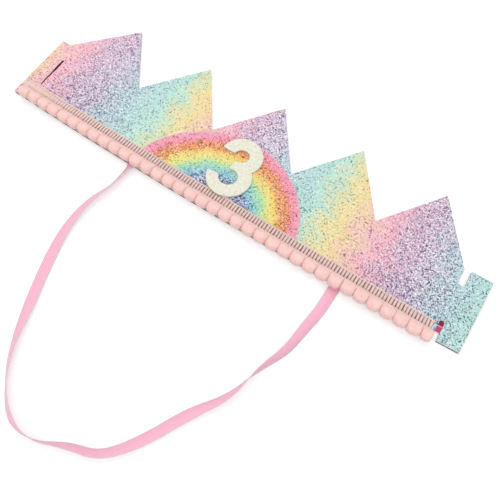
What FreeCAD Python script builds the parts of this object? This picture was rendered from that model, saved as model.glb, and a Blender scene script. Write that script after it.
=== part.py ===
import FreeCAD, Part
import math
import os

# Birthday crown laid flat on its back: a glitter sheet with five points on a thin dark felt
# backing, a rainbow patch, a felt numeral, a ladder tape with pom-poms and an elastic strap.
# Millimetres. X runs along the band, Y towards the points, Z out of the glitter face.
# The origin is on the back face, under the middle point, level with the tape's lower edge.

Vector = FreeCAD.Vector

# Layers
sheet_thickness = 1.0
felt_thickness = 1.2
patch_thickness = 0.8
tape_thickness = 0.8
numeral_thickness = 2.0
strap_thickness = 0.6
tag_thickness = 0.4

# Points of the crown
point_count = 5
point_pitch = 70.0
peak_y = 101.5
valley_y = 51.4

# Ends of the band: a slit at the left and a tab with a neck at the right
left_top_x = -184.6
left_bottom_x = -180.0
left_shoulder_x = -176.8
left_shoulder_y = 55.7
right_shoulder_y = 52.8
tab_top_y = 54.0
tab_top_right_x = 194.8
tab_bottom_right_x = 194.0

# Lower edge of the band, a very shallow arc
hem_depth = 8.9
hem_belly = 4.2
hem_half_span = 190.0

# Notches above and below the neck of the tab
top_notch_x = 173.7
top_notch_width = 5.3
top_notch_floor_y = 39.7
bottom_notch_x = 174.5
bottom_notch_width = 3.7
bottom_notch_roof_y = 9.9

# Slit that takes the tab's neck
slit_top = (-170.3, 39.7)
slit_bottom = (-168.0, 10.8)
slit_top_width = 2.0
slit_bottom_width = 0.8

# Ladder tape, which climbs a little towards the left end
tape_inset_left = 0.1
tape_inset_right = 2.4
tape_drop = 0.45
tape_width = 7.0
tape_left_lift = 3.1
tape_bow = 1.45
ladder_gaps_per_pom = 4
ladder_gap_width = 0.9
ladder_lower_rim = 0.7
ladder_upper_rim = 1.4
ladder_floor = 0.3

# Pom-poms, flattened a little where they lie on the band; the one at the right end is squeezed
pom_diameter = 9.5
pom_gap = 0.23
end_pom_diameter = 7.6
pom_drop_left = 6.4
pom_drop_right = 7.7
pom_squash = 0.6
pom_inset_left = 10.9
pom_inset_right = 0.3
thread_width = 1.4
thread_thickness = 0.8
thread_clearance = 0.1

# Rainbow patch, a disc cut off along the tape's upper edge
patch_centre = (-0.5, -10.2)
patch_radius = 68.4
patch_clearance = 0.1

# Numeral three: two bowls, their counters and the mouth on the left
lower_bowl_centre = (-0.2, 21.9)
lower_bowl_radius = 16.8
lower_counter_offset = (-0.6, -0.4)
lower_counter_radius = 7.1
bowl_spacing = 20.1
upper_bowl_shift = -2.0
upper_bowl_radius = 16.0
upper_counter_radius = 5.8
arm_left_x = -4.2
arm_low_y = 28.9
arm_high_y = 34.3
arm_taper = 1.0
mouth_roof_y = 41.9
mouth_floor_inner_y = 19.8
mouth_floor_outer_y = 18.1

# Elastic strap, flat on the surface that the crown lies on, with its ends between the layers
strap_width = 8.0
strap_ramp = 10.0
strap_exit_clearance = 0.5
pocket_clearance = 0.15
corner_share = 0.45
strap_route = [
    (-64.9, 11.0),
    (-64.9, -9.0),
    (-64.9, -31.0),
    (-71.5, -48.0),
    (-71.5, -72.0),
    (-65.0, -98.0),
    (-54.4, -127.0),
    (-43.0, -155.0),
    (-29.0, -175.0),
    (-12.0, -190.0),
    (7.0, -191.5),
    (25.0, -182.0),
    (44.0, -177.0),
    (59.0, -157.0),
    (72.0, -130.0),
    (87.0, -109.0),
    (92.0, -86.0),
    (101.0, -65.0),
    (102.8, -47.0),
    (105.4, -30.0),
    (105.4, -9.0),
    (105.4, 11.0),
]

# Bare woven tag that shows in the notch below the neck
tag_left_margin = 6.0
tag_right_margin = 5.0
tag_low_y = 1.0
tag_height = 13.0

# How far a cut runs on past the edge that it opens
cut_overrun = 10.0

# Levels and lines that follow from the sizes above
face_z = felt_thickness + sheet_thickness
tape_left_x = left_bottom_x + tape_inset_left
tape_right_x = bottom_notch_x - tape_inset_right
tape_middle_x = (tape_left_x + tape_right_x) / 2
tape_half_length = (tape_right_x - tape_left_x) / 2
pom_pitch = pom_diameter + pom_gap


def hem_y(x):
    """Y of the band's lower edge at x."""
    return -hem_depth + hem_belly * (x / hem_half_span) ** 2


def tape_rise(x):
    """How far the tape and its pom-poms lie above their plain level at x."""
    along = (x - tape_middle_x) / tape_half_length
    return tape_left_lift * (1 - along) / 2 - tape_bow * (1 - along ** 2)


def segment(start, end):
    return Part.LineSegment(start, end).toShape()


def arc(start, middle, end):
    return Part.Arc(start, middle, end).toShape()


def slab(edges, height):
    """Solid of a closed flat outline, raised by height."""
    outline = Part.Wire(Part.sortEdges(edges)[0])
    return Part.Face(outline).extrude(Vector(0, 0, height))


def polygon_slab(points, bottom, height):
    corners = [Vector(x, y, bottom) for x, y in points]
    outline = Part.makePolygon(corners + corners[:1])
    return Part.Face(outline).extrude(Vector(0, 0, height))


def box(x, y, z, length, width, height):
    return Part.makeBox(length, width, height, Vector(x, y, z))


def disc(centre, radius, bottom, height):
    return Part.makeCylinder(radius, height, Vector(centre[0], centre[1], bottom))


def crown_corners():
    """Straight-sided part of the band's outline, from the lower left to the lower right."""
    corners = [(left_bottom_x, hem_y(left_bottom_x)), (left_top_x, left_shoulder_y)]
    corners.append((left_shoulder_x, left_shoulder_y))
    first_peak_x = -point_pitch * (point_count - 1) / 2
    for index in range(point_count):
        peak_x = first_peak_x + index * point_pitch
        corners.append((peak_x, peak_y))
        if index < point_count - 1:
            corners.append((peak_x + point_pitch / 2, valley_y))
    corners.append((top_notch_x, right_shoulder_y))
    corners.append((top_notch_x + top_notch_width, tab_top_y))
    corners.append((tab_top_right_x, tab_top_y))
    corners.append((tab_bottom_right_x, hem_y(tab_bottom_right_x)))
    return corners


def notch(x, width, closed_y, open_y, bottom, height):
    """Slot with one round end at closed_y, open past open_y."""
    radius = width / 2
    inward = math.copysign(radius, open_y - closed_y)
    low_left = Vector(x, open_y, bottom)
    high_left = Vector(x, closed_y + inward, bottom)
    tip = Vector(x + radius, closed_y, bottom)
    high_right = Vector(x + width, closed_y + inward, bottom)
    low_right = Vector(x + width, open_y, bottom)
    edges = [segment(low_left, high_left), arc(high_left, tip, high_right)]
    edges += [segment(high_right, low_right), segment(low_right, low_left)]
    return slab(edges, height)


def slit(bottom, height):
    top_x, top_y = slit_top
    low_x, low_y = slit_bottom
    points = [(low_x - slit_bottom_width / 2, low_y), (low_x + slit_bottom_width / 2, low_y)]
    points += [(top_x + slit_top_width / 2, top_y), (top_x - slit_top_width / 2, top_y)]
    return polygon_slab(points, bottom, height)


def crown_layer(bottom, height):
    """One layer of the band, with its points, slit and notches."""
    corners = [Vector(x, y, bottom) for x, y in crown_corners()]
    edges = [segment(start, end) for start, end in zip(corners, corners[1:])]
    middle = Vector(0, -hem_depth, bottom)
    edges.append(arc(corners[-1], middle, corners[0]))
    above = tab_top_y + cut_overrun
    below = -hem_depth - cut_overrun
    top_notch = notch(top_notch_x, top_notch_width, top_notch_floor_y, above, bottom, height)
    low_notch = notch(bottom_notch_x, bottom_notch_width, bottom_notch_roof_y, below, bottom, height)
    layer = slab(edges, height).cut(top_notch)
    return layer.cut(low_notch).cut(slit(bottom, height))


def crown_front():
    return crown_layer(felt_thickness, sheet_thickness)


def strap_pocket(x, end_y):
    """Room in the felt for one end of the strap, open at the hem."""
    width = strap_width + 2 * pocket_clearance
    low_y = -hem_depth - cut_overrun
    length = end_y + pocket_clearance - low_y
    return box(x - width / 2, low_y, felt_thickness - strap_thickness, width, length, strap_thickness)


def tag_box(clearance):
    """Block of the tag, grown by clearance on its four sides."""
    x = bottom_notch_x - tag_left_margin - clearance
    width = tag_left_margin + bottom_notch_width + tag_right_margin + 2 * clearance
    height = tag_height + 2 * clearance
    return box(x, tag_low_y - clearance, felt_thickness - tag_thickness, width, height, tag_thickness)


def felt_backing():
    felt = crown_layer(0, felt_thickness)
    for x, end_y in (strap_route[0], strap_route[-1]):
        felt = felt.cut(strap_pocket(x, end_y))
    return felt.cut(tag_box(pocket_clearance))


def side_tag():
    return tag_box(0)


def tape_strip(low_y, high_y, left_x, right_x, height):
    """Slab on the front face between two curves that run along the tape's line."""
    def at(x, y):
        return Vector(x, y + tape_rise(x), face_z)

    middle_x = (left_x + right_x) / 2
    edges = [arc(at(left_x, low_y), at(middle_x, low_y), at(right_x, low_y))]
    edges.append(segment(at(right_x, low_y), at(right_x, high_y)))
    edges.append(arc(at(right_x, high_y), at(middle_x, high_y), at(left_x, high_y)))
    edges.append(segment(at(left_x, high_y), at(left_x, low_y)))
    return slab(edges, height)


def trim_tape():
    """Woven tape with a row of ladder gaps, a few to each pom-pom."""
    top_y = tape_width - tape_drop
    tape = tape_strip(-tape_drop, top_y, tape_left_x, tape_right_x, tape_thickness)
    pitch = pom_pitch / ladder_gaps_per_pom
    gap_count = int((tape_right_x - tape_left_x) / pitch)
    gap_length = tape_width - ladder_lower_rim - ladder_upper_rim
    gap_depth = tape_thickness - ladder_floor
    gaps = []
    for index in range(gap_count):
        x = tape_left_x + (index + 0.5) * pitch
        y = tape_rise(x) - tape_drop + ladder_lower_rim
        left = x - ladder_gap_width / 2
        gaps.append(box(left, y, face_z + ladder_floor, ladder_gap_width, gap_length, gap_depth))
    return tape.cut(Part.makeCompound(gaps))


def pom_y(x):
    """Y of a pom-pom's middle: they hang a little lower towards the right."""
    share = (x - tape_left_x) / (tape_right_x - tape_left_x)
    return tape_rise(x) - pom_drop_left - share * (pom_drop_right - pom_drop_left)


def pom_pom(x, diameter):
    """Soft ball lying on the band's edge, with the thread that ties it to the tape."""
    radius = diameter / 2
    y = pom_y(x)
    centre = Vector(x, y, face_z + radius - pom_squash)
    ball = Part.makeSphere(radius, centre)
    ball = ball.cut(box(x - radius, y - radius, face_z - radius, diameter, diameter, radius))
    thread_end_y = min(tape_rise(x - thread_width), tape_rise(x + thread_width)) - tape_drop
    thread_length = thread_end_y - thread_clearance - y
    thread = box(x - thread_width / 2, y, face_z, thread_width, thread_length, thread_thickness)
    return ball.fuse(thread).removeSplitter()


def pom_poms():
    """Row of pom-poms along the tape; the last one is smaller and sits closer."""
    first_x = tape_left_x + pom_inset_left
    room = tape_right_x - first_x - pom_inset_right
    last = int(room / pom_pitch)
    row = [pom_pom(first_x + index * pom_pitch, pom_diameter) for index in range(last)]
    closer = (pom_diameter - end_pom_diameter) / 2
    row.append(pom_pom(first_x + last * pom_pitch - closer, end_pom_diameter))
    return row


def rainbow_patch():
    patch = disc(patch_centre, patch_radius, face_z, patch_thickness)
    under_y = patch_centre[1] - patch_radius - cut_overrun
    top_y = tape_width - tape_drop + patch_clearance
    under_tape = tape_strip(under_y, top_y, tape_left_x, tape_right_x, patch_thickness)
    return patch.cut(under_tape)


def numeral_three():
    """Felt 3 that lies on the patch and laps over the tape's upper edge."""
    bottom = face_z + max(patch_thickness, tape_thickness)
    thickness = numeral_thickness
    lower_x, lower_y = lower_bowl_centre
    upper_centre = (lower_x + upper_bowl_shift, lower_y + bowl_spacing)
    counter_x = lower_x + lower_counter_offset[0]
    counter_y = lower_y + lower_counter_offset[1]
    mouth_x = lower_x - lower_bowl_radius - cut_overrun
    inset = upper_counter_radius / 2
    mouth = [(mouth_x, mouth_roof_y), (upper_centre[0] - inset, mouth_roof_y)]
    mouth += [(upper_centre[0] + inset, upper_centre[1] - inset)]
    mouth += [(arm_left_x, arm_high_y), (arm_left_x, arm_low_y)]
    mouth += [(counter_x, arm_low_y - arm_taper), (counter_x, counter_y)]
    mouth += [(counter_x - lower_counter_radius, mouth_floor_inner_y)]
    mouth += [(mouth_x, mouth_floor_outer_y)]
    digit = disc(lower_bowl_centre, lower_bowl_radius, bottom, thickness)
    digit = digit.fuse(disc(upper_centre, upper_bowl_radius, bottom, thickness))
    digit = digit.cut(disc((counter_x, counter_y), lower_counter_radius, bottom, thickness))
    digit = digit.cut(disc(upper_centre, upper_counter_radius, bottom, thickness))
    return digit.cut(polygon_slab(mouth, bottom, thickness)).removeSplitter()


def unit(start, end):
    return (end - start).normalize()


def left_of(direction):
    return Vector(-direction.y, direction.x, 0)


def round_corner(before, corner, after):
    """Directions, tangent points, middle and radius of the arc that rounds one corner."""
    way_in = unit(before, corner)
    way_out = unit(corner, after)
    half_turn = way_in.getAngle(way_out) / 2
    reach = corner_share * min(corner.distanceToPoint(before), corner.distanceToPoint(after))
    radius = reach / math.tan(half_turn)
    to_centre = (way_out - way_in).normalize()
    depth = radius / math.cos(half_turn) - radius
    return {
        "in": way_in,
        "out": way_out,
        "start": corner - way_in * reach,
        "middle": corner + to_centre * depth,
        "end": corner + way_out * reach,
        "radius": radius,
        "length": 2 * half_turn * radius,
    }


def strap_side(start, corners, end, offset):
    """Edges of one side of the strap, beside its middle line."""
    edges = []
    last = start + left_of(corners[0]["in"]) * offset
    for bend in corners:
        outward = (left_of(bend["in"]) + left_of(bend["out"])).normalize()
        arc_start = bend["start"] + left_of(bend["in"]) * offset
        arc_end = bend["end"] + left_of(bend["out"]) * offset
        edges.append(segment(last, arc_start))
        edges.append(arc(arc_start, bend["middle"] + outward * offset, arc_end))
        last = arc_end
    edges.append(segment(last, end + left_of(corners[-1]["out"]) * offset))
    return edges


def exit_y(x):
    """Where the strap is clear of the hem and starts down to the surface."""
    return min(hem_y(x - strap_width), hem_y(x + strap_width)) - strap_exit_clearance


def strap_end(x, end_y):
    """Strap from its end between the layers out past the hem and down to the surface."""
    low_z = felt_thickness - strap_thickness
    start_y = exit_y(x)
    foot_y = start_y - strap_ramp
    profile = [(end_y, low_z), (start_y, low_z), (foot_y, 0)]
    profile += [(foot_y, strap_thickness), (start_y, felt_thickness), (end_y, felt_thickness)]
    corners = [Vector(x - strap_width / 2, y, z) for y, z in profile]
    side = Part.Face(Part.makePolygon(corners + corners[:1]))
    return side.extrude(Vector(strap_width, 0, 0))


def elastic_strap():
    """Flat strap as straight runs joined by tangent arcs, all on one surface past its ends."""
    points = [Vector(x, y, 0) for x, y in strap_route]
    start = Vector(points[0].x, exit_y(points[0].x) - strap_ramp, 0)
    end = Vector(points[-1].x, exit_y(points[-1].x) - strap_ramp, 0)
    corners = [round_corner(*points[i - 1:i + 2]) for i in range(2, len(points) - 2)]
    half = strap_width / 2
    outline = strap_side(start, corners, end, half) + strap_side(start, corners, end, -half)
    for point, direction in ((start, corners[0]["in"]), (end, corners[-1]["out"])):
        aside = left_of(direction) * half
        outline.append(segment(point + aside, point - aside))
    strap = slab(outline, strap_thickness)
    for x, y in (strap_route[0], strap_route[-1]):
        strap = strap.fuse(strap_end(x, y))
    report_strap(start, corners, end, strap)
    return strap.removeSplitter()


def report_strap(start, corners, end, strap):
    """Print the bends and compare the strap's volume with its section times its length."""
    length = 2 * strap_ramp + strap_route[0][1] + strap_route[-1][1]
    length -= exit_y(strap_route[0][0]) + exit_y(strap_route[-1][0])
    last = start
    for bend in corners:
        length += last.distanceToPoint(bend["start"]) + bend["length"]
        last = bend["end"]
    length += last.distanceToPoint(end)
    print("strap radii", [round(bend["radius"], 1) for bend in corners])
    print("strap length", round(length, 1))
    print("strap volume", round(strap.Volume, 1), "of", round(length * strap_width * strap_thickness, 1))


def all_pieces():
    pieces = {
        "crown_front": crown_front(),
        "felt_backing": felt_backing(),
        "rainbow_patch": rainbow_patch(),
        "numeral_three": numeral_three(),
        "trim_tape": trim_tape(),
        "elastic_strap": elastic_strap(),
        "side_tag": side_tag(),
    }
    for number, pom in enumerate(pom_poms(), start=1):
        pieces[f"pom_pom_{number:02d}"] = pom
    return pieces


os.makedirs("parts", exist_ok=True)
for name, shape in all_pieces().items():
    shape.exportStep(f"parts/{name}.step")
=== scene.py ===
import math
import random

import bmesh
import bpy
from bpy.props import FloatProperty, FloatVectorProperty, IntProperty, PointerProperty
from mathutils import Matrix, Vector, noise


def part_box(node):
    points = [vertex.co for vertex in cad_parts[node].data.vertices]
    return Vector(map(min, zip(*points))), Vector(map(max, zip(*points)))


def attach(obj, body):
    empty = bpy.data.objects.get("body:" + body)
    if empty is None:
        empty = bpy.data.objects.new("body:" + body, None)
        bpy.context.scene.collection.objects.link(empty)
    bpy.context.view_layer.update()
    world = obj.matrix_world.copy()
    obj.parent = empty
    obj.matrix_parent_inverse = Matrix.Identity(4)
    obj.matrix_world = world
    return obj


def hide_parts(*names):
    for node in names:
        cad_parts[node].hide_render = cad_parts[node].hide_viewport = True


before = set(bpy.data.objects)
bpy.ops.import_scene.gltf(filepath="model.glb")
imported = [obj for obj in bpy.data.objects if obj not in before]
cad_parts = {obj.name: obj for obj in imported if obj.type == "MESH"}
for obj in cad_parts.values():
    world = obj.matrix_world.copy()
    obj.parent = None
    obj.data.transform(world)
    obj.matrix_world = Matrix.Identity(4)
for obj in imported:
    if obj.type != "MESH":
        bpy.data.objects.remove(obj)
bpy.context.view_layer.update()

bl_info = {
    "name": "Party crown",
    "version": (1, 0, 0),
    "blender": (4, 5, 0),
    "location": "3D View > Sidebar > Crown",
    "description": "Glitter crown with a rainbow patch, a felt numeral, pom-pom trim and an elastic strap",
    "category": "Object",
}

# Everything below is in metres; MM turns a size in millimetres into metres.
MM = 0.001
BODY = "root"
FRONT_LOW, FRONT_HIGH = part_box("crown_front")
SHEET_LOW_Z = FRONT_LOW[2]
FACE_Z = FRONT_HIGH[2]
TAPE_LOW, TAPE_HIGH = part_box("trim_tape")
TAPE_LENGTH = TAPE_HIGH[0] - TAPE_LOW[0]

# Line of the tape's lower edge, as in the frame: it climbs towards the left end and sags between
TAPE_DROP = 0.45 * MM
TAPE_WIDTH = 7.0 * MM
TAPE_LEFT_LIFT = 3.1 * MM
TAPE_BOW = 1.45 * MM
POM_PITCH = 9.73 * MM

# Disc of the rainbow patch
RAINBOW_CENTRE = (-0.5 * MM, -10.2 * MM)
RAINBOW_RADIUS = 68.4 * MM

# Slit at the left end, a little larger all round
SLIT_LOW = (-172.5 * MM, 10.0 * MM)
SLIT_HIGH = (-166.5 * MM, 40.5 * MM)

# Route of the strap's middle line: x and y in millimetres, then how far the strap leans there, in
# degrees. Past 90 it shows its other face, as it does from the bottom of the loop to the right side.
STRAP_WIDTH = 8.0 * MM
STRAP_THICKNESS = 0.6 * MM
STRAP_POCKET_Z = 0.9 * MM
STRAP_ROUTE = [
    (-64.9, 11.0, 0),
    (-64.9, -9.0, -50),
    (-64.9, -31.0, -55),
    (-70.3, -48.0, -40),
    (-70.3, -72.0, -22),
    (-63.7, -98.0, -5),
    (-53.0, -127.0, -10),
    (-41.8, -155.0, -50),
    (-29.0, -175.0, -72),
    (-12.0, -190.0, -60),
    (7.0, -191.5, -95),
    (25.0, -182.0, -125),
    (44.0, -177.0, -140),
    (59.0, -157.0, -160),
    (72.0, -130.0, -162),
    (87.0, -109.0, -128),
    (92.0, -86.0, -85),
    (101.0, -65.0, -50),
    (102.8, -47.0, -32),
    (105.4, -30.0, -18),
    (105.4, -9.0, -10),
    (105.4, 11.0, 0),
]


def srgb(red, green, blue):
    """Linear colour of a display colour given in 0 to 255."""
    def linear(value):
        share = value / 255
        return share / 12.92 if share <= 0.04045 else ((share + 0.055) / 1.055) ** 2.4

    return (linear(red), linear(green), linear(blue))


# The sheet's colours repeat every two points: (share of the repeat, colour, share of dark flakes, which are
# painted shade for flakes turned away from the lamps)
HUE_REPEAT = 140.0 * MM
HUE_START = -25.0 * MM
SHEET_HUES = [
    (0.00, srgb(250, 196, 210), 0.09),
    (0.12, srgb(224, 194, 216), 0.22),
    (0.22, srgb(218, 200, 222), 0.26),
    (0.33, srgb(208, 212, 226), 0.23),
    (0.44, srgb(198, 224, 230), 0.18),
    (0.54, srgb(196, 228, 226), 0.12),
    (0.62, srgb(200, 234, 222), 0.09),
    (0.69, srgb(222, 230, 196), 0.06),
    (0.77, srgb(246, 230, 174), 0.05),
    (0.86, srgb(248, 218, 188), 0.06),
    (0.94, srgb(248, 204, 202), 0.07),
    (1.00, srgb(250, 196, 210), 0.09),
]

# Rings of the rainbow from the middle out: (share of its radius, colour, share of dark flakes, which are
# painted shade for flakes turned away from the lamps)
RAINBOW_RINGS = [
    (0.00, srgb(208, 198, 232), 0.50),
    (0.38, srgb(208, 212, 238), 0.42),
    (0.46, srgb(176, 214, 236), 0.24),
    (0.53, srgb(174, 224, 216), 0.12),
    (0.60, srgb(192, 230, 182), 0.06),
    (0.665, srgb(240, 232, 150), 0.05),
    (0.73, srgb(252, 218, 132), 0.08),
    (0.785, srgb(250, 174, 116), 0.20),
    (0.855, srgb(250, 162, 124), 0.18),
    (0.90, srgb(252, 164, 178), 0.10),
    (0.97, srgb(248, 174, 196), 0.07),
    (1.00, srgb(242, 196, 206), 0.06),
]


class CrownSheetSettings(bpy.types.PropertyGroup):
    flake_size: FloatProperty(
        name="Flake size", description="Distance from one glitter flake to the next",
        default=0.6 * MM, subtype="DISTANCE")
    facet_size: FloatProperty(
        name="Facet size", description="Size of the sheet's modelled facets",
        default=0.95 * MM, subtype="DISTANCE")
    flake_height: FloatProperty(
        name="Flake height", description="How far flakes stand up or lie low",
        default=0.11 * MM, subtype="DISTANCE")
    edge_colour: FloatVectorProperty(
        name="Cut edge", description="Colour of the sheet where it is cut",
        default=srgb(240, 236, 236), subtype="COLOR")
    # Inside the slit both layers are painted dark crimson: painted shade, tinted by light that the pink
    # sheet reflects into the slit.
    slit_shade_colour: FloatVectorProperty(
        name="Slit", description="Colour of both layers inside the slit",
        default=srgb(122, 44, 66), subtype="COLOR")
    # Dark flakes are painted shade: they stand for flakes that turn their mirror away from the lamps.
    painted_dark_flake: FloatVectorProperty(
        name="Dark flake", description="Colour of the flakes that reflect no light",
        default=srgb(24, 12, 34), subtype="COLOR")


class CrownFeltSettings(bpy.types.PropertyGroup):
    net: FloatProperty(
        name="Net", description="Distance between the cuts of the felt's mesh",
        default=4.0 * MM, subtype="DISTANCE")
    colour: FloatVectorProperty(
        name="Colour", description="Colour of the backing felt",
        default=srgb(30, 24, 27), subtype="COLOR")


class CrownNumeralSettings(bpy.types.PropertyGroup):
    edge_round: FloatProperty(
        name="Edge round", description="Radius of the numeral's soft edge",
        default=0.7 * MM, subtype="DISTANCE")
    colour: FloatVectorProperty(
        name="Colour", description="Colour of the numeral's pearly felt",
        default=srgb(232, 229, 208), subtype="COLOR")


class CrownTrimSettings(bpy.types.PropertyGroup):
    gaps_per_pom: IntProperty(
        name="Gaps per pom-pom", description="Ladder gaps of the tape to each pom-pom", default=4)
    threads_per_bar: IntProperty(
        name="Threads per bar", description="Threads that lie side by side in one ladder bar", default=3)
    gap_width: FloatProperty(
        name="Gap width", description="Open width between two ladder bars",
        default=0.64 * MM, subtype="DISTANCE")
    tape_colour: FloatVectorProperty(
        name="Tape", description="Colour of the tape's threads",
        default=srgb(255, 226, 219), subtype="COLOR")
    # The gap colour is painted shade: the shade that falls between the bars.
    gap_shade_colour: FloatVectorProperty(
        name="Gap", description="Colour seen between the tape's bars",
        default=srgb(84, 26, 34), subtype="COLOR")
    fibres: IntProperty(
        name="Fibres", description="Yarn ends that stand out of one pom-pom", default=420)
    pom_colour: FloatVectorProperty(
        name="Pom-pom", description="Colour of the pom-pom yarn",
        default=srgb(255, 214, 208), subtype="COLOR")


class CrownStrapSettings(bpy.types.PropertyGroup):
    samples: IntProperty(
        name="Samples", description="Steps of the curve between two points of its route", default=12)
    colour: FloatVectorProperty(
        name="Colour", description="Colour of the elastic", default=srgb(255, 196, 216), subtype="COLOR")
    # The greyer edges are painted shade.
    edge_colour: FloatVectorProperty(
        name="Edges", description="Colour of the elastic's two edges",
        default=srgb(224, 208, 216), subtype="COLOR")


class CrownTagSettings(bpy.types.PropertyGroup):
    upper_colour: FloatVectorProperty(
        name="Upper half", description="Colour of the tag above its fold",
        default=srgb(128, 22, 56), subtype="COLOR")
    lower_colour: FloatVectorProperty(
        name="Lower half", description="Colour of the tag below its fold",
        default=srgb(200, 66, 116), subtype="COLOR")


def lift(x, y):
    """How far the soft layers rise off the floor at a place: long shallow waves, never below it."""
    wave_length = 95 * MM
    height = 0.45 * MM
    wave = math.sin(2 * math.pi * (x + 0.3 * y) / wave_length)
    return height * (1 + wave) / 2


def lift_mesh(mesh):
    for vert in mesh.verts:
        vert.co.z += lift(vert.co.x, vert.co.y)


def tape_rise(x):
    """How far the tape and its pom-poms lie above their plain level at x."""
    middle = (TAPE_LOW[0] + TAPE_HIGH[0]) / 2
    along = (x - middle) / (TAPE_HIGH[0] - middle)
    return TAPE_LEFT_LIFT * (1 - along) / 2 - TAPE_BOW * (1 - along ** 2)


def merged_copy(node):
    """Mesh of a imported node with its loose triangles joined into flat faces."""
    mesh = bmesh.new()
    mesh.from_mesh(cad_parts[node].data)
    bmesh.ops.remove_doubles(mesh, verts=mesh.verts, dist=0.002 * MM)
    bmesh.ops.dissolve_limit(mesh, angle_limit=math.radians(0.5), verts=mesh.verts, edges=mesh.edges)
    return mesh


def cut_net(mesh, step, faces):
    """Cuts the faces with planes across Y and then across X, so that they can bend and be roughened."""
    for axis in (1, 0):
        faces = cut_across(mesh, step, axis, faces)
    return faces


def cut_across(mesh, step, axis, faces):
    """Cuts the faces with planes across one axis, each time only what lies beyond the last plane."""
    normal = Vector((0, 0, 0))
    normal[axis] = 1
    places = [vert.co[axis] for face in faces for vert in face.verts]
    place = min(places) + step
    high = max(places)
    done = []
    beyond = list(faces)
    while place < high and beyond:
        edges = {edge for face in beyond for edge in face.edges}
        verts = {vert for face in beyond for vert in face.verts}
        point = normal * place
        cut = bmesh.ops.bisect_plane(
            mesh, geom=list(verts) + list(edges) + beyond, dist=1e-7, plane_co=point, plane_no=normal)
        beyond = []
        for item in cut["geom"]:
            if isinstance(item, bmesh.types.BMFace):
                middle = item.calc_center_bounds()[axis]
                (beyond if middle > place else done).append(item)
        place += step
    return done + beyond


def upward(mesh, level):
    """Faces that look up and lie at or above a level."""
    return [face for face in mesh.faces
            if face.normal.z > 0.9 and face.calc_center_median().z > level]


def add_piece(name, mesh, materials, nodes, smooth=False):
    """Makes a mesh the piece that stands for the nodes, riding on the body."""
    for face in mesh.faces:
        face.smooth = smooth
    data = bpy.data.meshes.new(name)
    mesh.to_mesh(data)
    mesh.free()
    piece = bpy.data.objects.new(name, data)
    for material in materials:
        data.materials.append(material)
    bpy.context.scene.collection.objects.link(piece)
    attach(piece, BODY)
    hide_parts(*nodes)
    return piece


def new_material(name, roughness, sheen=0.0):
    """Material with its shader; returns it with its nodes, links and shader."""
    material = bpy.data.materials.new(name)
    material.use_nodes = True
    nodes = material.node_tree.nodes
    shader = nodes["Principled BSDF"]
    shader.inputs["Roughness"].default_value = roughness
    shader.inputs["Sheen Weight"].default_value = sheen
    shader.inputs["Sheen Roughness"].default_value = 0.5
    return material, nodes, material.node_tree.links, shader


def add_noise(nodes, links, vector, scale, detail=2.0):
    """Smooth noise from 0 to 1."""
    texture = nodes.new("ShaderNodeTexNoise")
    texture.inputs["Scale"].default_value = scale
    texture.inputs["Detail"].default_value = detail
    links.new(vector, texture.inputs["Vector"])
    return texture.outputs["Fac"]


def add_axes(nodes, links, vector):
    """Coordinates of a place, by the names X, Y and Z."""
    axes = nodes.new("ShaderNodeSeparateXYZ")
    links.new(vector, axes.inputs["Vector"])
    return axes.outputs


def add_vector_math(nodes, links, operation, first, second=None, output="Vector"):
    """Vector math node; its second input may be a socket, a vector or nothing."""
    node = nodes.new("ShaderNodeVectorMath")
    node.operation = operation
    links.new(first, node.inputs[0])
    if isinstance(second, bpy.types.NodeSocket):
        links.new(second, node.inputs[1])
    elif second is not None:
        node.inputs[1].default_value = second
    return node.outputs[output]


def add_math(nodes, links, operation, first, second):
    """Math node of two inputs, each a socket or a number."""
    node = nodes.new("ShaderNodeMath")
    node.operation = operation
    for socket, value in zip(node.inputs, (first, second)):
        if isinstance(value, (int, float)):
            socket.default_value = value
        else:
            links.new(value, socket)
    return node.outputs[0]


def add_mix(nodes, links, share, first, second):
    """Colour mix; share and both colours may be sockets or values."""
    node = nodes.new("ShaderNodeMix")
    node.data_type = "RGBA"
    for socket, value in ((node.inputs["Factor"], share), (node.inputs[6], first), (node.inputs[7], second)):
        if isinstance(value, (int, float)):
            socket.default_value = value
        elif isinstance(value, bpy.types.NodeSocket):
            links.new(value, socket)
        else:
            socket.default_value = (*value, 1)
    return node.outputs[2]


def add_ramp(nodes, links, share, stops):
    """Colour ramp through (place, colour) stops."""
    node = nodes.new("ShaderNodeValToRGB")
    elements = node.color_ramp.elements
    while len(elements) < len(stops):
        elements.new(0.5)
    for element, (place, colour) in zip(elements, stops):
        element.position = place
        element.color = (*colour, 1)
    links.new(share, node.inputs["Fac"])
    return node.outputs["Color"]


def add_bump(nodes, links, shader, height, strength, distance):
    node = nodes.new("ShaderNodeBump")
    node.inputs["Strength"].default_value = strength
    node.inputs["Distance"].default_value = distance
    links.new(height, node.inputs["Height"])
    links.new(node.outputs["Normal"], shader.inputs["Normal"])


def add_flakes(nodes, links, place, size):
    """Cells of one flake each; returns a random colour per flake and its three channels."""
    flakes = nodes.new("ShaderNodeTexVoronoi")
    flakes.inputs["Scale"].default_value = 1 / size
    links.new(place, flakes.inputs["Vector"])
    chance = nodes.new("ShaderNodeSeparateColor")
    links.new(flakes.outputs["Color"], chance.inputs["Color"])
    return flakes.outputs["Color"], chance.outputs["Red"], chance.outputs["Green"], chance.outputs["Blue"]


def add_tint(nodes, links, colour, hue, saturation, value):
    """The same colour turned, strengthened and darkened; colour and hue are sockets."""
    tint = nodes.new("ShaderNodeHueSaturation")
    tint.inputs["Saturation"].default_value = saturation
    tint.inputs["Value"].default_value = value
    links.new(hue, tint.inputs["Hue"])
    links.new(colour, tint.inputs["Color"])
    return tint.outputs["Color"]


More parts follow.
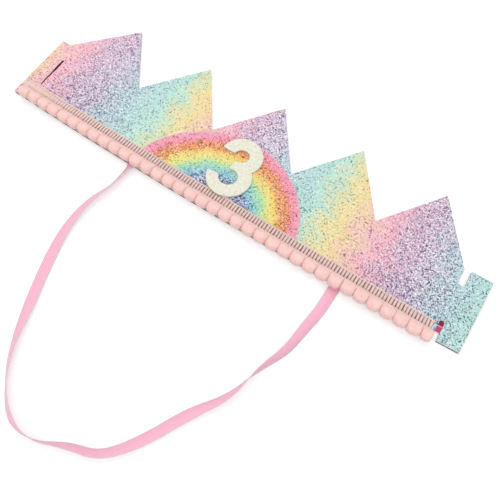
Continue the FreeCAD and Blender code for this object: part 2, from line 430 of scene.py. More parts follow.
def tilt_flakes(nodes, links, shader, flake_colour, amount):
    """Leans each flake its own way, so that flakes glint one by one."""
    normal = nodes.new("ShaderNodeNewGeometry").outputs["Normal"]
    centred = add_vector_math(nodes, links, "SUBTRACT", flake_colour, (0.5, 0.5, 0.5))
    scaled = add_vector_math(nodes, links, "MULTIPLY", centred, (amount, amount, amount))
    leant = add_vector_math(nodes, links, "ADD", normal, scaled)
    unit = add_vector_math(nodes, links, "NORMALIZE", leant)
    links.new(unit, shader.inputs["Normal"])


def glitter_material(name, stops, add_place, flake_size, painted_dark_flake, painted_glints):
    """Glitter whose hue and share of dark flakes follow a place along a ramp. Its dark flakes are painted
    shade, standing for flakes turned away from the lamps, and its white flakes are painted glints.
    """
    material, nodes, links, shader = new_material(name, roughness=0.3)
    shader.inputs["Specular IOR Level"].default_value = 0.25
    place = nodes.new("ShaderNodeTexCoord").outputs["Object"]
    drift = add_noise(nodes, links, place, 90.0)
    share = add_place(nodes, links, place, drift)
    hue = add_ramp(nodes, links, share, [(at, colour) for at, colour, dark in stops])
    painted_dark_share = add_ramp(nodes, links, share, [(at, (dark,) * 3) for at, colour, dark in stops])
    flake_colour, red, green, blue = add_flakes(nodes, links, place, flake_size)
    patches = add_noise(nodes, links, place, 260.0, detail=3.0)
    crowding = add_math(nodes, links, "MULTIPLY", patches, add_hem_share(nodes, links, place))
    # Dark flakes: painted shade for flakes that mirror nothing bright.
    painted_dark_limit = add_math(nodes, links, "MULTIPLY", painted_dark_share, crowding)
    is_painted_dark = add_math(nodes, links, "LESS_THAN", red, painted_dark_limit)
    # White flakes are painted glints, more of them where the hue has more dark flakes.
    fewest = 0.01
    crowd = add_math(nodes, links, "ADD", add_math(nodes, links, "POWER", painted_dark_share, 2.0), fewest)
    painted_glint_share = add_math(nodes, links, "MULTIPLY", crowd, painted_glints)
    is_painted_glint = add_math(nodes, links, "LESS_THAN", green, painted_glint_share)
    hue_spread = 0.12
    least_turn = 0.44
    turn = add_math(nodes, links, "ADD", add_math(nodes, links, "MULTIPLY", green, hue_spread), least_turn)
    vivid = add_tint(nodes, links, hue, turn, saturation=2.1, value=0.68)
    murky = add_tint(nodes, links, hue, turn, saturation=4.5, value=0.34)
    most_vivid, most_glint_white, most_murky = 0.45, 0.9, 0.8
    depth = add_math(nodes, links, "MULTIPLY", add_math(nodes, links, "POWER", blue, 2.0), most_vivid)
    bright = add_mix(nodes, links, depth, hue, vivid)
    glint_whiteness = add_math(nodes, links, "MULTIPLY", is_painted_glint, most_glint_white)
    bright = add_mix(nodes, links, glint_whiteness, bright, (1, 1, 1))
    # Colour of the painted dark flakes.
    painted_dark_tone = add_mix(nodes, links, add_math(nodes, links, "MULTIPLY", blue, most_murky), painted_dark_flake, murky)
    links.new(add_mix(nodes, links, is_painted_dark, bright, painted_dark_tone), shader.inputs["Base Color"])
    tilt_flakes(nodes, links, shader, flake_colour, 0.5)
    return material


def add_hem_share(nodes, links, place):
    """How closely the painted dark flakes crowd: most near the hem, less from the middle of the band up."""
    near_hem = 2.5
    higher_up = 1.7
    by_height = nodes.new("ShaderNodeMapRange")
    limits = {"From Min": 15 * MM, "From Max": 60 * MM, "To Min": near_hem, "To Max": higher_up}
    for socket, value in limits.items():
        by_height.inputs[socket].default_value = value
    links.new(add_axes(nodes, links, place)["Y"], by_height.inputs["Value"])
    return by_height.outputs["Result"]


def add_share_of(nodes, links, value, start, end):
    """Share from 0 at the start value to 1 at the end value, and level past both."""
    share = nodes.new("ShaderNodeMapRange")
    share.inputs["From Min"].default_value = start
    share.inputs["From Max"].default_value = end
    links.new(value, share.inputs["Value"])
    return share.outputs["Result"]


def place_along_band(nodes, links, place, drift):
    """Share of the hue repeat at a place along the band, with slightly uneven borders.
    The lower left corner takes its hue from further along, where the sheet is pink."""
    corner_shift = 16 * MM
    axes = add_axes(nodes, links, place)
    uneven = add_math(nodes, links, "MULTIPLY", add_math(nodes, links, "SUBTRACT", drift, 0.5), 30 * MM)
    along = add_math(nodes, links, "ADD", axes["X"], uneven)
    low = add_share_of(nodes, links, axes["Y"], 14 * MM, 2 * MM)
    left = add_share_of(nodes, links, axes["X"], -166 * MM, -180 * MM)
    corner = add_math(nodes, links, "MULTIPLY", low, left)
    along = add_math(nodes, links, "ADD", along, add_math(nodes, links, "MULTIPLY", corner, corner_shift))
    start = add_math(nodes, links, "SUBTRACT", along, HUE_START)
    return add_math(nodes, links, "FRACT", add_math(nodes, links, "DIVIDE", start, HUE_REPEAT), 0.0)


def place_across_rainbow(nodes, links, place, drift):
    """Share of the rainbow's radius at a place, with slightly uneven borders."""
    flat = add_vector_math(nodes, links, "MULTIPLY", place, (1, 1, 0))
    away = add_vector_math(nodes, links, "DISTANCE", flat, (*RAINBOW_CENTRE, 0), output="Value")
    uneven = add_math(nodes, links, "MULTIPLY", add_math(nodes, links, "SUBTRACT", drift, 0.5), 7 * MM)
    radius = add_math(nodes, links, "ADD", away, uneven)
    return add_math(nodes, links, "DIVIDE", radius, RAINBOW_RADIUS)


def cloth_material(name, colour, grain, grain_height, variation=0.06, sheen=0.4):
    """Matt cloth: a little lighter and darker in patches, with a fine fibrous bump."""
    material, nodes, links, shader = new_material(name, roughness=0.95, sheen=sheen)
    place = nodes.new("ShaderNodeTexCoord").outputs["Object"]
    fibres = add_noise(nodes, links, place, 1 / grain, detail=6.0)
    darker = tuple(channel * (1 - 4 * variation) for channel in colour)
    links.new(add_mix(nodes, links, fibres, darker, colour), shader.inputs["Base Color"])
    add_bump(nodes, links, shader, fibres, 0.6, grain_height)
    return material


def roughen(mesh, faces, step, height, seed):
    """Turns flat net faces into small facets: inner corners wander and stand at random heights."""
    rng = random.Random(seed)
    members = set(faces)
    inner = [vert for vert in {vert for face in faces for vert in face.verts}
             if all(face in members for face in vert.link_faces)]
    inner.sort(key=lambda vert: (round(vert.co.x, 7), round(vert.co.y, 7)))
    for vert in inner:
        vert.co.x += rng.uniform(-0.28, 0.28) * step
        vert.co.y += rng.uniform(-0.28, 0.28) * step
        vert.co.z += rng.uniform(-height, 0.3 * height)
    bmesh.ops.triangulate(mesh, faces=faces)


def glitter_slab(node, step, height, seed):
    """Copy of a sheet node whose top is a field of small facets and whose other sides can bend."""
    mesh = merged_copy(node)
    bend_step = 12 * MM
    cut_net(mesh, bend_step, list(mesh.faces))
    top_level = max(vert.co.z for vert in mesh.verts) - 0.1 * MM
    top = upward(mesh, top_level)
    top = cut_net(mesh, step, top)
    for face in mesh.faces:
        # Faces inside the slit take the slit's painted shade.
        face.material_index = 2 if in_slit(face.calc_center_median()) else 1
    for face in upward(mesh, top_level):
        face.material_index = 0
    roughen(mesh, top, step, height, seed)
    fray_slit(mesh)
    lift_mesh(mesh)
    return mesh


def in_slit(place):
    return SLIT_LOW[0] < place.x < SLIT_HIGH[0] and SLIT_LOW[1] < place.y < SLIT_HIGH[1]


def fray_slit(mesh):
    """Makes the rim of the hand-cut slit slightly uneven."""
    for vert in mesh.verts:
        if in_slit(vert.co):
            vert.co.x += 0.3 * MM * noise.noise(vert.co / (3.5 * MM))


# Painted shade for the walls inside the slit.
def slit_shade_material(settings):
    return cloth_material("slit painted shade", settings.slit_shade_colour, 0.5 * MM, 0.05 * MM, sheen=0.1)


class CROWN_OT_glitter_sheet(bpy.types.Operator):
    """Glitter sheet with five points, a slit and a tab"""
    bl_idname = "crown.glitter_sheet"
    bl_label = "Glitter sheet"

    def execute(self, context):
        settings = context.scene.crown_sheet
        step = settings.facet_size * 1
        mesh = glitter_slab("crown_front", step, settings.flake_height, seed=11)
        glitter = glitter_material(
            "pastel glitter", SHEET_HUES, place_along_band, settings.flake_size,
            settings.painted_dark_flake, painted_glints=3.2)
        edge = cloth_material("sheet cut edge", settings.edge_colour, 0.5 * MM, 0.05 * MM)
        materials = [glitter, edge, slit_shade_material(settings)]
        add_piece("glitter_sheet", mesh, materials, ["crown_front"])
        return {"FINISHED"}


class CROWN_OT_rainbow(bpy.types.Operator):
    """Half-round rainbow patch of finer glitter"""
    bl_idname = "crown.rainbow"
    bl_label = "Rainbow patch"

    def execute(self, context):
        settings = context.scene.crown_sheet
        step = settings.facet_size * 0.85
        mesh = glitter_slab("rainbow_patch", step, settings.flake_height, seed=12)
        glitter = glitter_material(
            "rainbow glitter", RAINBOW_RINGS, place_across_rainbow, settings.flake_size * 0.95,
            settings.painted_dark_flake, painted_glints=1.1)
        edge = cloth_material("patch cut edge", settings.edge_colour, 0.5 * MM, 0.05 * MM)
        add_piece("rainbow", mesh, [glitter, edge], ["rainbow_patch"])
        return {"FINISHED"}


class CROWN_OT_felt(bpy.types.Operator):
    """Thin dark felt behind the sheet"""
    bl_idname = "crown.felt"
    bl_label = "Felt backing"

    def execute(self, context):
        settings = context.scene.crown_felt
        mesh = merged_copy("felt_backing")
        cut_net(mesh, settings.net, list(mesh.faces))
        rng = random.Random(13)
        fuzz = 0.08 * MM
        for vert in mesh.verts:
            if vert.co.z < SHEET_LOW_Z - fuzz and any(abs(face.normal.z) < 0.5 for face in vert.link_faces):
                vert.co.x += rng.uniform(-fuzz, fuzz)
                vert.co.y += rng.uniform(-fuzz, fuzz)
        for face in mesh.faces:
            # The felt's walls inside the slit take the same painted shade.
            face.material_index = 1 if in_slit(face.calc_center_median()) and abs(face.normal.z) < 0.5 else 0
        lift_mesh(mesh)
        felt = cloth_material("dark felt", settings.colour, 0.7 * MM, 0.15 * MM, variation=0.12, sheen=0.02)
        materials = [felt, slit_shade_material(context.scene.crown_sheet)]
        add_piece("felt_layer", mesh, materials, ["felt_backing"])
        return {"FINISHED"}


class CROWN_OT_numeral(bpy.types.Operator):
    """Soft felt 3 with rounded edges and a pearly coat"""
    bl_idname = "crown.numeral"
    bl_label = "Numeral"

    def execute(self, context):
        settings = context.scene.crown_numeral
        mesh = merged_copy("numeral_three")
        top_level = max(vert.co.z for vert in mesh.verts) - 0.1 * MM
        rim = [edge for edge in mesh.edges
               if min(vert.co.z for vert in edge.verts) > top_level and not self.inside(edge)]
        bmesh.ops.bevel(
            mesh, geom=rim, offset=settings.edge_round, segments=4, profile=0.5,
            affect="EDGES", material=-1, clamp_overlap=True)
        net = 0.8 * MM
        top = cut_net(mesh, net, upward(mesh, top_level))
        nap = 0.06 * MM
        for vert in {vert for face in top for vert in face.verts}:
            vert.co.z += nap * noise.noise(vert.co / (1.3 * MM))
        lift_mesh(mesh)
        add_piece(
            "three", mesh, [self.pearl_felt(settings.colour)], ["numeral_three"], smooth=True)
        return {"FINISHED"}

    def inside(self, edge):
        """An edge between two faces that both look up is no rim."""
        return all(face.normal.z > 0.9 for face in edge.link_faces)

    def pearl_felt(self, colour):
        """White felt whose thin glitter coat turns a little green, pink and cream."""
        material, nodes, links, shader = new_material("pearl felt", roughness=0.7, sheen=0.3)
        place = nodes.new("ShaderNodeTexCoord").outputs["Object"]
        tints = add_noise(nodes, links, place, 240.0, detail=3.0)
        tint = add_ramp(nodes, links, tints, [
            (0.30, srgb(240, 226, 214)), (0.45, colour),
            (0.58, srgb(231, 234, 214)), (0.72, srgb(224, 232, 224))])
        # Flakes of the coat: one share is mixed towards white as painted glints, another towards a duller
        # cream.
        flake_share = 0.1
        red, green = add_flakes(nodes, links, place, 0.6 * MM)[1:3]
        for channel, strength, shade in ((red, 0.6, (1, 1, 1)), (green, 0.5, srgb(190, 184, 160))):
            is_flake = add_math(nodes, links, "LESS_THAN", channel, flake_share)
            tint = add_mix(nodes, links, add_math(nodes, links, "MULTIPLY", is_flake, strength), tint, shade)
        links.new(tint, shader.inputs["Base Color"])
        fibres = add_noise(nodes, links, place, 1800.0, detail=5.0)
        add_bump(nodes, links, shader, fibres, 0.5, 0.12 * MM)
        return material


class CROWN_OT_tape(bpy.types.Operator):
    """Woven tape: chain-stitched rims joined by ladder bars over a ground strip painted dark as the shade
    between the bars
    """
    bl_idname = "crown.tape"
    bl_label = "Ladder tape"

    lower_rim = 0.5 * MM
    upper_rim = 0.95 * MM
    ground_height = 0.3 * MM
    thread_radius = 0.29 * MM
    stitch_rows = ((0.35 * MM, 1), (6.55 * MM, -1))

    def execute(self, context):
        settings = context.scene.crown_trim
        mesh = bmesh.new()
        self.ground(mesh)
        for face in mesh.faces:
            face.material_index = 1
        rng = random.Random(14)
        cells = round(TAPE_LENGTH * settings.gaps_per_pom / POM_PITCH)
        pitch = TAPE_LENGTH / cells
        part = bpy.data.meshes.new("tape cell")
        for index in range(cells):
            cell = bmesh.new()
            bar_x = TAPE_LOW[0] + (index + 0.5) * pitch
            self.bar(cell, bar_x, pitch - settings.gap_width, settings.threads_per_bar, rng)
            for height, lean in self.stitch_rows:
                self.stitches(cell, TAPE_LOW[0] + index * pitch, pitch, height, lean, rng)
            cell.to_mesh(part)
            cell.free()
            mesh.from_mesh(part)
        bpy.data.meshes.remove(part)
        for vert in mesh.verts:
            vert.co.y += tape_rise(vert.co.x) - TAPE_DROP
        lift_mesh(mesh)
        thread = cloth_material("tape thread", settings.tape_colour, 0.3 * MM, 0.05 * MM, variation=0.02)
        # The ground is painted with the shade seen between the bars.
        gap = self.gap(settings.gap_shade_colour, settings.tape_colour)
        add_piece("tape_weave", mesh, [thread, gap], ["trim_tape"], smooth=True)
        return {"FINISHED"}

    def gap(self, dark, pale):
        """Ground between the bars, painted dark as the shade that falls there: unevenly dark, as pale as the
        threads at the tape's left end and a little paler at its right end."""
        material, nodes, links, shader = new_material("tape gap painted shade", roughness=0.95)
        place = nodes.new("ShaderNodeTexCoord").outputs["Object"]
        along = add_axes(nodes, links, place)["X"]
        left = add_share_of(nodes, links, along, -40 * MM, -165 * MM)
        right = add_share_of(nodes, links, along, 168 * MM, 175 * MM)
        right_paleness = 0.3
        faded = add_math(nodes, links, "POWER", left, 4.0)
        uneven = add_noise(nodes, links, place, 200.0, detail=1.0)
        lighter = add_share_of(nodes, links, uneven, 0.4, 1.8)
        ends = add_math(
            nodes, links, "MAXIMUM", faded, add_math(nodes, links, "MULTIPLY", right, right_paleness))
        paleness = add_math(nodes, links, "MAXIMUM", ends, lighter)
        links.new(add_mix(nodes, links, paleness, dark, pale), shader.inputs["Base Color"])
        return material

    def ground(self, mesh):
        """Thin strip under the threads; its colour is the painted shade seen in the gaps."""
        inset = 0.15 * MM
        size = (TAPE_LENGTH - 2 * inset, TAPE_WIDTH - 2 * inset, self.ground_height)
        middle = Vector(((TAPE_LOW[0] + TAPE_HIGH[0]) / 2, TAPE_WIDTH / 2, FACE_Z + self.ground_height / 2))
        bmesh.ops.create_cube(mesh, size=1)
        bmesh.ops.scale(mesh, verts=mesh.verts, vec=size)
        bmesh.ops.translate(mesh, verts=mesh.verts, vec=middle)
        cut_across(mesh, 5 * MM, 0, list(mesh.faces))

    def bar(self, mesh, bar_x, width, threads, rng):
        """Bundle of short threads from rim to rim, with a gap on each side."""
        reach = TAPE_WIDTH - self.lower_rim - self.upper_rim + 4 * self.thread_radius
        spread = (width - 2 * self.thread_radius) / (threads - 1)
        bar_x += rng.uniform(-0.1, 0.1) * MM
        low_y = self.lower_rim - 2 * self.thread_radius
        for thread in range(threads):
            x = bar_x + (thread - (threads - 1) / 2) * spread
            made = bmesh.ops.create_cone(
                mesh, cap_ends=True, segments=8, radius1=self.thread_radius,
                radius2=self.thread_radius, depth=reach)
            turn = Matrix.Rotation(math.pi / 2 + rng.uniform(-0.03, 0.03), 4, "X")
            lean = Matrix.Rotation(rng.uniform(-0.05, 0.05), 4, "Z")
            place = Vector((x, low_y + reach / 2, FACE_Z + self.ground_height + self.thread_radius * 0.6))
            bmesh.ops.transform(mesh, verts=made["verts"], matrix=Matrix.Translation(place) @ lean @ turn)

    def stitches(self, mesh, cell_x, pitch, height, lean, rng):
        """Chain stitches of one row along a rim, two to a cell."""
        stitch_size = Vector((0.76, 0.42, 0.34)) * MM
        slant = math.radians(24) * lean
        stitch_z = FACE_Z + self.ground_height + stitch_size.z * 0.9
        for share in (0.25, 0.75):
            made = bmesh.ops.create_icosphere(mesh, subdivisions=2, radius=1)
            size = Matrix.Diagonal((*stitch_size, 1))
            turn = Matrix.Rotation(slant + rng.uniform(-0.08, 0.08), 4, "Z")
            place = Vector((cell_x + share * pitch, height, stitch_z))
            bmesh.ops.transform(mesh, verts=made["verts"], matrix=Matrix.Translation(place) @ turn @ size)


class CROWN_OT_pom_poms(bpy.types.Operator):
    """Row of soft pom-poms pressed against each other"""
    bl_idname = "crown.pom_poms"
    bl_label = "Pom-poms"

    spacing = 0.23 * MM
    coats = 3

    def execute(self, context):
        settings = context.scene.crown_trim
        yarn = self.yarn(settings.pom_colour)
        balls = [self.ball(settings.fibres, seed=80 + number) for number in range(self.coats)]
        names = sorted(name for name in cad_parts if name.startswith("pom_pom_"))
        for index, name in enumerate(names):
            low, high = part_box(name)
            mesh = bmesh.new()
            mesh.from_mesh(balls[index % self.coats])
            self.shape(mesh, low, high, seed=100 + index)
            add_piece(name.replace("pom_pom", "pom"), mesh, [yarn], [name], smooth=True)
        for ball in balls:
            bpy.data.meshes.remove(ball)
        return {"FINISHED"}

    def ball(self, fibres, seed):
        """Ball of radius 1 with short yarn ends that stand out of it on all sides."""
        rng = random.Random(seed)
        mesh = bmesh.new()
        bmesh.ops.create_icosphere(mesh, subdivisions=5, radius=1)
        upright = Vector((0, 0, 1))
        root = 0.93
        for fibre in range(fibres):
            way = Vector((rng.gauss(0, 1), rng.gauss(0, 1), rng.gauss(0, 1))).normalized()
            length = rng.uniform(0.13, 0.24)
            made = bmesh.ops.create_cone(
                mesh, cap_ends=True, segments=3, radius1=0.026, radius2=0, depth=length)
            turn = upright.rotation_difference(way).to_matrix().to_4x4()
            lean_x = Matrix.Rotation(rng.uniform(-0.6, 0.6), 4, "X")
            lean_y = Matrix.Rotation(rng.uniform(-0.6, 0.6), 4, "Y")
            raised = Matrix.Translation(upright * length / 2)
            out = Matrix.Translation(way * root) @ turn @ (lean_x @ lean_y) @ raised
            bmesh.ops.transform(mesh, verts=made["verts"], matrix=out)
        data = bpy.data.meshes.new("yarn ball")
        mesh.to_mesh(data)
        mesh.free()
        return data

    def shape(self, mesh, low, high, seed):
        """Presses a ball into a soft lobe: square and low where it meets the tape, round at its free end."""
        rng = random.Random(seed)
        spin = rng.uniform(0, 2 * math.pi)
        spin_axis = Vector((rng.random(), rng.random(), 1)).normalized()
        bmesh.ops.transform(mesh, verts=mesh.verts, matrix=Matrix.Rotation(spin, 4, spin_axis))
        room = Vector(high) - Vector(low)
        half = Vector((room.x / 2, room.y / 2, room.z / 2 * rng.uniform(0.86, 0.94)))
        for vert in mesh.verts:
            direction = vert.co.normalized()
            squareness = 3.5 + 1.3 * direction.y
            box = sum(abs(axis) ** squareness for axis in direction) ** (-1 / squareness)
            tuft = noise.noise(direction * 7 + Vector((seed, 0, 0)))
            ends = noise.noise(direction * 26 + Vector((0, seed, 0)))
            reach = box * (0.95 + 0.04 * tuft + 0.04 * ends) + vert.co.length - 1
            vert.co = Vector(axis * reach * size for axis, size in zip(direction, half))
        contact = half.x * POM_PITCH / (POM_PITCH - self.spacing)
        middle = Vector(((low[0] + high[0]) / 2, (low[1] + high[1]) / 2, FACE_Z))
        least_z = 0.02 * MM
        flattening = 0.62
        for vert in mesh.verts:
            upper = max(vert.co.y / half.y, 0)
            swell = 1.1 + 0.2 * upper
            kept_height = 1 - flattening * min(upper, 1) ** 1.3
            vert.co.x = max(-contact, min(contact, vert.co.x * swell))
            vert.co.z = max((vert.co.z + half.z) * kept_height, least_z)
            vert.co += middle
        bmesh.ops.translate(mesh, verts=mesh.verts, vec=Vector((0, 0, lift(middle.x, middle.y))))

    def yarn(self, colour):
        """Soft yarn: paler tips and a deeper colour between the tufts, which is painted shade."""
        material, nodes, links, shader = new_material("pom-pom yarn", roughness=1.0, sheen=0.5)
        place = nodes.new("ShaderNodeTexCoord").outputs["Object"]
        fibres = add_noise(nodes, links, place, 1500.0, detail=6.0)
        tufts = add_noise(nodes, links, place, 300.0, detail=2.0)
        both = add_math(nodes, links, "MULTIPLY", fibres, tufts)
        # Painted shade: the deeper colour between the tufts.
        painted_shade_tone = tuple(channel * share for channel, share in zip(colour, (0.98, 0.88, 0.87)))
        tint = add_ramp(nodes, links, both, [(0.10, painted_shade_tone), (0.30, colour)])
        links.new(tint, shader.inputs["Base Color"])
        add_bump(nodes, links, shader, fibres, 0.5, 0.2 * MM)
        return material


class CROWN_OT_strap(bpy.types.Operator):
    """Elastic strap that twists between lying flat and standing on its edge"""
    bl_idname = "crown.strap"
    bl_label = "Elastic strap"

    tucked_length = 18.5 * MM
    turning_length = 4.0 * MM

    def execute(self, context):
        settings = context.scene.crown_strap
        path = self.middle_line(settings.samples)
        mesh = self.ribbon(path)
        elastic = self.elastic(settings.colour, settings.edge_colour)
        piece = add_piece("strap", mesh, [elastic], ["elastic_strap"], smooth=True)
        return {"FINISHED"}

    def path_length(self, path):
        return sum((after - before).length for before, after in zip(path, path[1:]))

    def height(self, index, lean):
        """Height of the middle line: between the layers at the ends, on the floor elsewhere."""
        if index < 2 or index > len(STRAP_ROUTE) - 3:
            return STRAP_POCKET_Z
        half_stand = (STRAP_WIDTH - STRAP_THICKNESS) / 2
        return STRAP_THICKNESS / 2 + half_stand * abs(math.sin(math.radians(lean)))

    def middle_line(self, samples):
        """Points along the smooth line of the route."""
        curve = bpy.data.curves.new("strap route", "CURVE")
        curve.dimensions = "3D"
        spline = curve.splines.new("NURBS")
        spline.points.add(len(STRAP_ROUTE) - 1)
        for index, (point, (x, y, lean)) in enumerate(zip(spline.points, STRAP_ROUTE)):
            point.co = (x * MM, y * MM, self.height(index, lean), 1)
        spline.order_u = 3
        spline.use_endpoint_u = True
        spline.resolution_u = samples
        route = bpy.data.objects.new("strap route", curve)
        bpy.context.scene.collection.objects.link(route)
        line = bpy.data.meshes.new_from_object(route)
        path = [vert.co.copy() for vert in line.vertices]
        bpy.data.objects.remove(route)
        bpy.data.curves.remove(curve)
        bpy.data.meshes.remove(line)
        return path

    def lean_at(self, share, from_end):
        """How far the strap leans at a share of its line: between the leans of the route's points,
        but flat where it lies between the layers."""
        along = share * (len(STRAP_ROUTE) - 2) + 0.5
        index = min(int(along), len(STRAP_ROUTE) - 2)
        before, after = STRAP_ROUTE[index][2], STRAP_ROUTE[index + 1][2]
        free = min(max((from_end - self.tucked_length) / self.turning_length, 0), 1)
        return math.radians(before + (after - before) * min(along - index, 1)) * free

    def section_frame(self, path, index, from_end):
        """Matrix that stands the strap's section at one point of its line, leaning as it does there."""
        before = path[max(index - 1, 0)]
        after = path[min(index + 1, len(path) - 1)]
        along = (after - before).normalized()
        left = Vector((0, 0, 1)).cross(along).normalized()
        up = along.cross(left)
        lean = self.lean_at(index / (len(path) - 1), from_end)
        across = left * math.cos(lean) - up * math.sin(lean)
        out = left * math.sin(lean) + up * math.cos(lean)
        columns = Matrix((across, out, along)).transposed().to_4x4()
        return Matrix.Translation(path[index]) @ columns

    def ribbon(self, path):
        """Section drawn along the line by extruding its rim step by step."""
        mesh = bmesh.new()
        half_width = STRAP_WIDTH / 2
        half_thick = STRAP_THICKNESS / 2
        corners = [(-half_width, 0), (-half_width + half_thick, -half_thick), (0, -half_thick * 0.86),
                   (half_width - half_thick, -half_thick), (half_width, 0),
                   (half_width - half_thick, half_thick), (0, half_thick * 0.86),
                   (-half_width + half_thick, half_thick)]
        place = mesh.verts.layers.float_vector.new("strap_place")
        verts = [mesh.verts.new((x, y, 0)) for x, y in corners]
        for vert in verts:
            vert[place] = (vert.co.x, 0, 0)
        edges = list(mesh.faces.new(verts).edges)
        along = 0.0
        length = self.path_length(path)
        frame_now = self.section_frame(path, 0, 0.0)
        bmesh.ops.transform(mesh, verts=verts, matrix=frame_now)
        for index in range(1, len(path)):
            made = bmesh.ops.extrude_edge_only(mesh, edges=edges)["geom"]
            verts = [item for item in made if isinstance(item, bmesh.types.BMVert)]
            edges = [edge for edge in made if isinstance(edge, bmesh.types.BMEdge)
                     and all(vert in verts for vert in edge.verts)]
            along += (path[index] - path[index - 1]).length
            frame_next = self.section_frame(path, index, min(along, length - along))
            bmesh.ops.transform(mesh, verts=verts, matrix=frame_next @ frame_now.inverted())
            for vert in verts:
                vert[place] = ((frame_next.inverted() @ vert.co).x, along, 0)
            frame_now = frame_next
        bmesh.ops.contextual_create(mesh, geom=edges)
        bmesh.ops.recalc_face_normals(mesh, faces=mesh.faces)
        for vert in mesh.verts:
            vert.co.z = max(vert.co.z, 0)
        return mesh

    def elastic(self, colour, edge_colour):
        """Knitted elastic: ribs along its length and fine cross threads, painted deeper in their hollows as
        shade, and edges painted greyer as shade where the elastic rounds away.
        """
        material, nodes, links, shader = new_material("pink elastic", roughness=0.75, sheen=0.4)
        place = nodes.new("ShaderNodeAttribute")
        place.attribute_name = "strap_place"
        ribs = nodes.new("ShaderNodeTexWave")
        ribs.bands_direction = "X"
        ribs.inputs["Scale"].default_value = 0.314 / (1.0 * MM)
        threads = nodes.new("ShaderNodeTexWave")
        threads.bands_direction = "Y"
        threads.inputs["Scale"].default_value = 0.314 / (0.6 * MM)
        for texture in (ribs, threads):
            links.new(place.outputs["Vector"], texture.inputs["Vector"])
        weave = add_math(nodes, links, "MULTIPLY", ribs.outputs["Fac"], threads.outputs["Fac"])
        # Painted shade in the hollows of the weave.
        painted_shade_tone = tuple(channel * share for channel, share in zip(colour, (0.96, 0.84, 0.90)))
        face = add_mix(nodes, links, weave, painted_shade_tone, colour)
        # Edges painted greyer: painted shade where the elastic rounds away.
        across = add_axes(nodes, links, place.outputs["Vector"])["X"]
        from_middle = add_math(nodes, links, "ABSOLUTE", across, 0.0)
        half_width = STRAP_WIDTH / 2
        edge = add_share_of(nodes, links, from_middle, half_width - 0.5 * MM, half_width - 0.2 * MM)
        links.new(add_mix(nodes, links, edge, face, edge_colour), shader.inputs["Base Color"])
        add_bump(nodes, links, shader, weave, 0.4, 0.08 * MM)
        return material


class CROWN_OT_tag(bpy.types.Operator):
    """Bare woven tag in the notch under the neck"""
    bl_idname = "crown.tag"
    bl_label = "Side tag"

    def execute(self, context):
        settings = context.scene.crown_tag
        mesh = merged_copy("side_tag")
        cut_net(mesh, 0.4 * MM, list(mesh.faces))
        rib = 0.05 * MM
        rib_pitch = 0.8 * MM
        for vert in mesh.verts:
            if vert.co.z > SHEET_LOW_Z - 0.1 * MM:
                vert.co.z -= rib * (1 + math.cos(2 * math.pi * vert.co.y / rib_pitch)) / 2
        lift_mesh(mesh)
        add_piece("tag", mesh, [self.woven(settings)], ["side_tag"])
        return {"FINISHED"}

    def woven(self, settings):
        """Two reds that meet at a pale line."""
        material, nodes, links, shader = new_material("woven tag", roughness=0.8, sheen=0.2)
        place = nodes.new("ShaderNodeTexCoord").outputs["Object"]
        high_y = 11 * MM
        share = add_math(nodes, links, "DIVIDE", add_axes(nodes, links, place)["Y"], high_y)
        pale = srgb(232, 178, 196)
        colour = add_ramp(nodes, links, share, [
            (0.0, settings.lower_colour), (0.46, settings.lower_colour), (0.49, pale), (0.52, pale),
            (0.55, settings.upper_colour), (1.0, settings.upper_colour)])
        links.new(colour, shader.inputs["Base Color"])
        return material


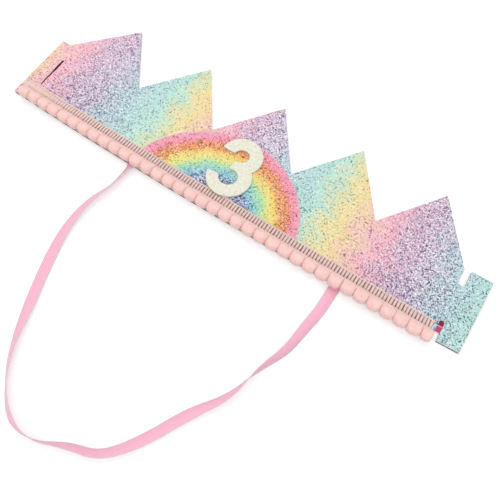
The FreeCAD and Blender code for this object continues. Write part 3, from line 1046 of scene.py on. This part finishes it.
class CROWN_OT_stage(bpy.types.Operator):
    """Pale floor, soft studio light and the camera"""
    bl_idname = "crown.stage"
    bl_label = "Stage"

    camera_place = Vector((119.34, -173.84, 345.39)) * MM
    camera_turn = (math.radians(26.56), math.radians(-3.40), math.radians(32.67))
    camera_lens = 40.59
    camera_sensor = 36.0

    def execute(self, context):
        self.floor(context)
        self.lights(context)
        self.world(context)
        self.camera(context)
        context.scene.view_settings.view_transform = "Standard"
        return {"FINISHED"}

    def seen(self, nodes, links):
        """1 for the rays by which a surface is seen, straight, mirrored or through something; else 0."""
        rays = nodes.new("ShaderNodeLightPath").outputs
        plain = add_math(nodes, links, "MAXIMUM", rays["Is Camera Ray"], rays["Is Glossy Ray"])
        return add_math(nodes, links, "MAXIMUM", plain, rays["Is Transmission Ray"])

    def floor(self, context):
        """Pale floor just under the crown, with a little glow of its own."""
        grey = 0.72
        glow = 0.42
        mesh = bmesh.new()
        bmesh.ops.create_grid(mesh, x_segments=1, y_segments=1, size=4.0)
        bmesh.ops.translate(mesh, verts=mesh.verts, vec=Vector((0, 0, -0.05 * MM)))
        data = bpy.data.meshes.new("floor")
        mesh.to_mesh(data)
        mesh.free()
        floor = bpy.data.objects.new("floor", data)
        context.scene.collection.objects.link(floor)
        material, nodes, links, shader = new_material("floor", roughness=0.9)
        shader.inputs["Base Color"].default_value = (grey, grey, grey, 1)
        shader.inputs["Specular IOR Level"].default_value = 0.0
        strength = add_math(nodes, links, "MULTIPLY", self.seen(nodes, links), glow)
        shader.inputs["Emission Color"].default_value = (1, 1, 1, 1)
        links.new(strength, shader.inputs["Emission Strength"])
        data.materials.append(material)

    def lights(self, context):
        """Three broad lamps: (name, place, size, power)."""
        lamps = [
            ("key", Vector((-0.5, 0.5, 1.3)), 1.0, 6.5),
            ("fill", Vector((0.9, -0.6, 1.1)), 1.4, 4.5),
            ("front", Vector((-0.3, -1.1, 0.9)), 1.2, 3.0),
        ]
        for name, place, size, power in lamps:
            lamp = bpy.data.lights.new(name, "AREA")
            lamp.size = size
            lamp.energy = power
            holder = bpy.data.objects.new(name, lamp)
            holder.location = place
            holder.rotation_euler = (-place).to_track_quat("-Z", "Y").to_euler()
            context.scene.collection.objects.link(holder)

    def world(self, context):
        """White background that lights the crown at a plain level."""
        ambient = 0.62
        world = bpy.data.worlds.new("studio")
        context.scene.world = world
        world.use_nodes = True
        nodes = world.node_tree.nodes
        links = world.node_tree.links
        extra = add_math(nodes, links, "MULTIPLY", self.seen(nodes, links), 1 - ambient)
        strength = add_math(nodes, links, "ADD", extra, ambient)
        nodes["Background"].inputs["Color"].default_value = (1, 1, 1, 1)
        links.new(strength, nodes["Background"].inputs["Strength"])

    def camera(self, context):
        data = bpy.data.cameras.new("camera")
        data.lens = self.camera_lens
        data.sensor_width = self.camera_sensor
        camera = bpy.data.objects.new("camera", data)
        camera.location = self.camera_place
        camera.rotation_euler = self.camera_turn
        context.scene.collection.objects.link(camera)
        context.scene.camera = camera


OPERATORS = (
    CROWN_OT_felt,
    CROWN_OT_glitter_sheet,
    CROWN_OT_rainbow,
    CROWN_OT_numeral,
    CROWN_OT_tape,
    CROWN_OT_pom_poms,
    CROWN_OT_strap,
    CROWN_OT_tag,
    CROWN_OT_stage,
)
SETTINGS = {
    "crown_sheet": CrownSheetSettings,
    "crown_felt": CrownFeltSettings,
    "crown_numeral": CrownNumeralSettings,
    "crown_trim": CrownTrimSettings,
    "crown_strap": CrownStrapSettings,
    "crown_tag": CrownTagSettings,
}


class CROWN_PT_panel(bpy.types.Panel):
    """Sizes, colours and pieces of the crown"""
    bl_idname = "CROWN_PT_panel"
    bl_label = "Party crown"
    bl_space_type = "VIEW_3D"
    bl_region_type = "UI"
    bl_category = "Crown"

    def draw(self, context):
        for name, settings in SETTINGS.items():
            column = self.layout.column()
            for value in settings.__annotations__:
                column.prop(getattr(context.scene, name), value)
        for operator in OPERATORS:
            self.layout.operator(operator.bl_idname)


def register():
    for name, settings in SETTINGS.items():
        bpy.utils.register_class(settings)
        setattr(bpy.types.Scene, name, PointerProperty(type=settings))
    for operator in OPERATORS:
        bpy.utils.register_class(operator)
    bpy.utils.register_class(CROWN_PT_panel)


def unregister():
    bpy.utils.unregister_class(CROWN_PT_panel)
    for operator in reversed(OPERATORS):
        bpy.utils.unregister_class(operator)
    for name, settings in SETTINGS.items():
        delattr(bpy.types.Scene, name)
        bpy.utils.unregister_class(settings)


def main():
    register()
    for operator in OPERATORS:
        group, name = operator.bl_idname.split(".")
        getattr(getattr(bpy.ops, group), name)()


if __name__ == "__main__":
    main()
